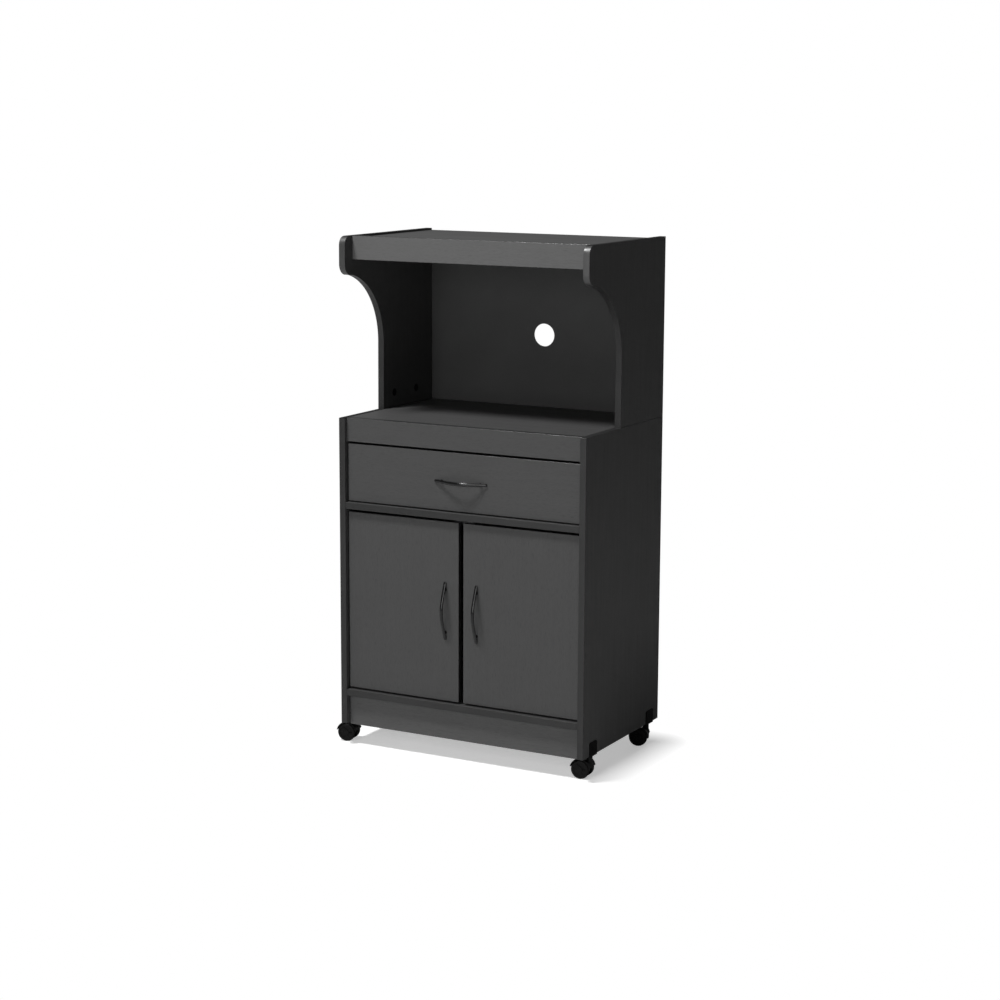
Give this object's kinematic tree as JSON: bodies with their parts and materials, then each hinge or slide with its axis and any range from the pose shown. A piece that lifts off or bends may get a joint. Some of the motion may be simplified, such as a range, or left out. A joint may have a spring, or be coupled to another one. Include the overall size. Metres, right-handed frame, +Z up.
{
  "type": "kitchen cabinet",
  "caption": "Black kitchen cabinet on swivel castors with a drawer, two hinged doors over shelves, and an open hutch above the worktop for a microwave oven.",
  "frame": {"origin": "on the floor, midway across the side panels' width and midway between the handles' fronts and the backs' rear faces; the castors trail to the left, so the whole box reaches further to that side", "axes": "+X to the right seen from the front, +Y towards the back, +Z up; the doors and the drawer face -Y"},
  "size_m": [0.6494, 0.4, 1.148],
  "materials": {
    "black_board": "black melamine with a fine wood grain, satin",
    "back_board": "thin fibreboard with a black face, matt",
    "handle_metal": "gunmetal lacquer on cast metal, gloss",
    "hardware_steel": "zinc-plated steel, satin",
    "runner_metal": "epoxy-coated steel, satin",
    "roller_plastic": "white nylon",
    "castor_plastic": "black moulded nylon, satin",
    "wheel_plastic": "black moulded polyamide, semi-gloss",
    "saddle_metal": "black powder coat",
    "catch_plastic": "black moulded plastic",
    "magnet": "sintered ferrite, matt",
    "dowel_wood": "plain fluted beech"
  },
  "bodies": {
    "cabinet": {"left_side_panel": "black_board", "right_side_panel": "black_board", "worktop": "black_board", "top_fascia": "black_board", "mid_shelf": "black_board", "bottom_shelf": "black_board", "kick_rail": "black_board", "inner_shelf": "black_board", "base_back": "back_board", "hutch_left_side": "black_board", "hutch_right_side": "black_board", "hutch_top": "black_board", "hutch_apron": "black_board", "hutch_back": "back_board", "shelf_pins": "hardware_steel", "cam_bolts": "hardware_steel", "cam_discs": "hardware_steel", "dowels": "dowel_wood", "back_nails": "hardware_steel", "magnetic_catch": "catch_plastic", "catch_magnets": "magnet", "cabinet_screws": "hardware_steel", "hinge_arms": "hardware_steel", "cabinet_runners": "runner_metal", "castor_saddles": "saddle_metal", "castor_stems": "hardware_steel"},
    "drawer": {"drawer_front": "black_board", "drawer_left_side": "black_board", "drawer_right_side": "black_board", "drawer_back": "black_board", "drawer_floor": "black_board", "drawer_handle": "handle_metal", "drawer_fixings": "hardware_steel", "drawer_runners": "runner_metal"},
    "left_door": {"left_door": "black_board", "left_door_handle": "handle_metal", "left_door_screws": "hardware_steel", "left_hinge_cups": "hardware_steel", "left_hinge_pins": "hardware_steel", "left_strike_plate": "hardware_steel"},
    "right_door": {"right_door": "black_board", "right_door_handle": "handle_metal", "right_door_screws": "hardware_steel", "right_hinge_cups": "hardware_steel", "right_hinge_pins": "hardware_steel", "right_strike_plate": "hardware_steel"},
    "cabinet_rollers": {"cabinet_rollers": "roller_plastic"},
    "drawer_rollers": {"drawer_rollers": "roller_plastic"},
    "front_left_castor": {"front_left_castor_hood": "castor_plastic"},
    "front_left_castor_left_wheel": {"front_left_castor_left_wheel": "wheel_plastic"},
    "front_left_castor_right_wheel": {"front_left_castor_right_wheel": "wheel_plastic"},
    "front_right_castor": {"front_right_castor_hood": "castor_plastic"},
    "front_right_castor_left_wheel": {"front_right_castor_left_wheel": "wheel_plastic"},
    "front_right_castor_right_wheel": {"front_right_castor_right_wheel": "wheel_plastic"},
    "rear_left_castor": {"rear_left_castor_hood": "castor_plastic"},
    "rear_left_castor_left_wheel": {"rear_left_castor_left_wheel": "wheel_plastic"},
    "rear_left_castor_right_wheel": {"rear_left_castor_right_wheel": "wheel_plastic"},
    "rear_right_castor": {"rear_right_castor_hood": "castor_plastic"},
    "rear_right_castor_left_wheel": {"rear_right_castor_left_wheel": "wheel_plastic"},
    "rear_right_castor_right_wheel": {"rear_right_castor_right_wheel": "wheel_plastic"}
  },
  "joints": [
    {"name": "left_door_hinge", "type": "hinge", "parent": "cabinet", "child": "left_door", "pos_m": [-0.277, -0.172, 0.3375], "axis": [0, 0, -1], "range_deg": [0, 95]},
    {"name": "right_door_hinge", "type": "hinge", "parent": "cabinet", "child": "right_door", "pos_m": [0.277, -0.172, 0.3375], "axis": [0, 0, 1], "range_deg": [0, 95]},
    {"name": "drawer_slide", "type": "slide", "parent": "cabinet", "child": "drawer", "axis": [0, -1, 0], "range_m": [0, 0.225]},
    {"name": "cabinet_rollers_spin", "type": "hinge", "parent": "cabinet", "child": "cabinet_rollers", "pos_m": [0, -0.1548, 0.5972], "axis": [1, 0, 0], "range_deg": [0, 1745]},
    {"name": "drawer_rollers_spin", "type": "hinge", "parent": "drawer", "child": "drawer_rollers", "pos_m": [0, 0.128, 0.5964], "axis": [1, 0, 0], "range_deg": [0, 1745]},
    {"name": "front_left_castor_swivel", "type": "hinge", "parent": "cabinet", "child": "front_left_castor", "pos_m": [-0.2975, -0.14, 0.039], "axis": [0, 0, 1], "continuous": true},
    {"name": "front_left_castor_left_wheel_roll", "type": "hinge", "parent": "front_left_castor", "child": "front_left_castor_left_wheel", "pos_m": [-0.31326, -0.14278, 0.021], "axis": [0.1736, -0.9848, 0], "continuous": true},
    {"name": "front_left_castor_right_wheel_roll", "type": "hinge", "parent": "front_left_castor", "child": "front_left_castor_right_wheel", "pos_m": [-0.31326, -0.14278, 0.021], "axis": [0.1736, -0.9848, 0], "continuous": true},
    {"name": "front_right_castor_swivel", "type": "hinge", "parent": "cabinet", "child": "front_right_castor", "pos_m": [0.2975, -0.14, 0.039], "axis": [0, 0, 1], "continuous": true},
    {"name": "front_right_castor_left_wheel_roll", "type": "hinge", "parent": "front_right_castor", "child": "front_right_castor_left_wheel", "pos_m": [0.28156, -0.14139, 0.021], "axis": [0.0872, -0.9962, 0], "continuous": true},
    {"name": "front_right_castor_right_wheel_roll", "type": "hinge", "parent": "front_right_castor", "child": "front_right_castor_right_wheel", "pos_m": [0.28156, -0.14139, 0.021], "axis": [0.0872, -0.9962, 0], "continuous": true},
    {"name": "rear_left_castor_swivel", "type": "hinge", "parent": "cabinet", "child": "rear_left_castor", "pos_m": [-0.2975, 0.15, 0.039], "axis": [0, 0, 1], "continuous": true},
    {"name": "rear_left_castor_left_wheel_roll", "type": "hinge", "parent": "rear_left_castor", "child": "rear_left_castor_left_wheel", "pos_m": [-0.30401, 0.13538, 0.021], "axis": [0.9135, -0.4067, 0], "continuous": true},
    {"name": "rear_left_castor_right_wheel_roll", "type": "hinge", "parent": "rear_left_castor", "child": "rear_left_castor_right_wheel", "pos_m": [-0.30401, 0.13538, 0.021], "axis": [0.9135, -0.4067, 0], "continuous": true},
    {"name": "rear_right_castor_swivel", "type": "hinge", "parent": "cabinet", "child": "rear_right_castor", "pos_m": [0.2975, 0.15, 0.039], "axis": [0, 0, 1], "continuous": true},
    {"name": "rear_right_castor_left_wheel_roll", "type": "hinge", "parent": "rear_right_castor", "child": "rear_right_castor_left_wheel", "pos_m": [0.28228, 0.14506, 0.021], "axis": [0.309, -0.9511, 0], "continuous": true},
    {"name": "rear_right_castor_right_wheel_roll", "type": "hinge", "parent": "rear_right_castor", "child": "rear_right_castor_right_wheel", "pos_m": [0.28228, 0.14506, 0.021], "axis": [0.309, -0.9511, 0], "continuous": true}
  ],
  "couplings": [
    {"joint": "cabinet_rollers_spin", "follows": "drawer_slide", "rad_per_m": 135.14},
    {"joint": "drawer_rollers_spin", "follows": "drawer_slide", "rad_per_m": 135.14}
  ]
}
